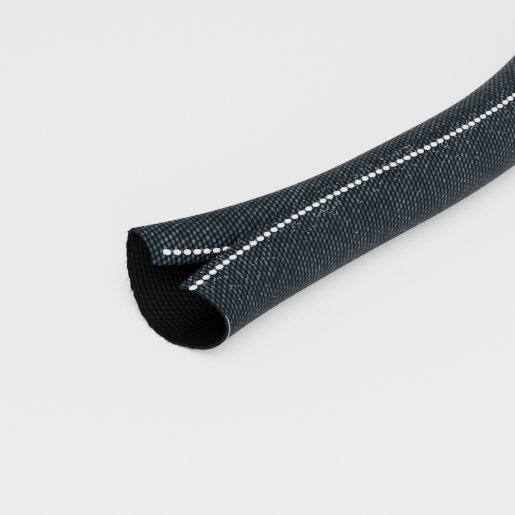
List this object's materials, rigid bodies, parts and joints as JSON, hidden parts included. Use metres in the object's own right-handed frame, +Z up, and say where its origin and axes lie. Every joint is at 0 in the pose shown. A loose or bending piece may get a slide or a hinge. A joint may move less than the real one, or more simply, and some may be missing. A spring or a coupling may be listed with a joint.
{
  "type": "woven cable sleeve",
  "caption": "Split self-wrapping black textile cable sleeve with a white tracer yarn along each edge; one end is teased open to take cables.",
  "frame": {"origin": "middle of the footprint, on the floor the sleeve lies on", "axes": "+Z up; +X from the open end toward the square-cut end, along the sleeve's longest extent"},
  "size_m": [0.4752, 0.1886, 0.0279],
  "materials": {
    "black_fabric": "woven, matt with a slight sheen",
    "tracer_yarn": "white multifilament yarn"
  },
  "bodies": {
    "root": {"woven_sleeve": "black_fabric", "outer_tracer_yarn": "tracer_yarn", "inner_tracer_yarn": "tracer_yarn"}
  },
  "joints": []
}
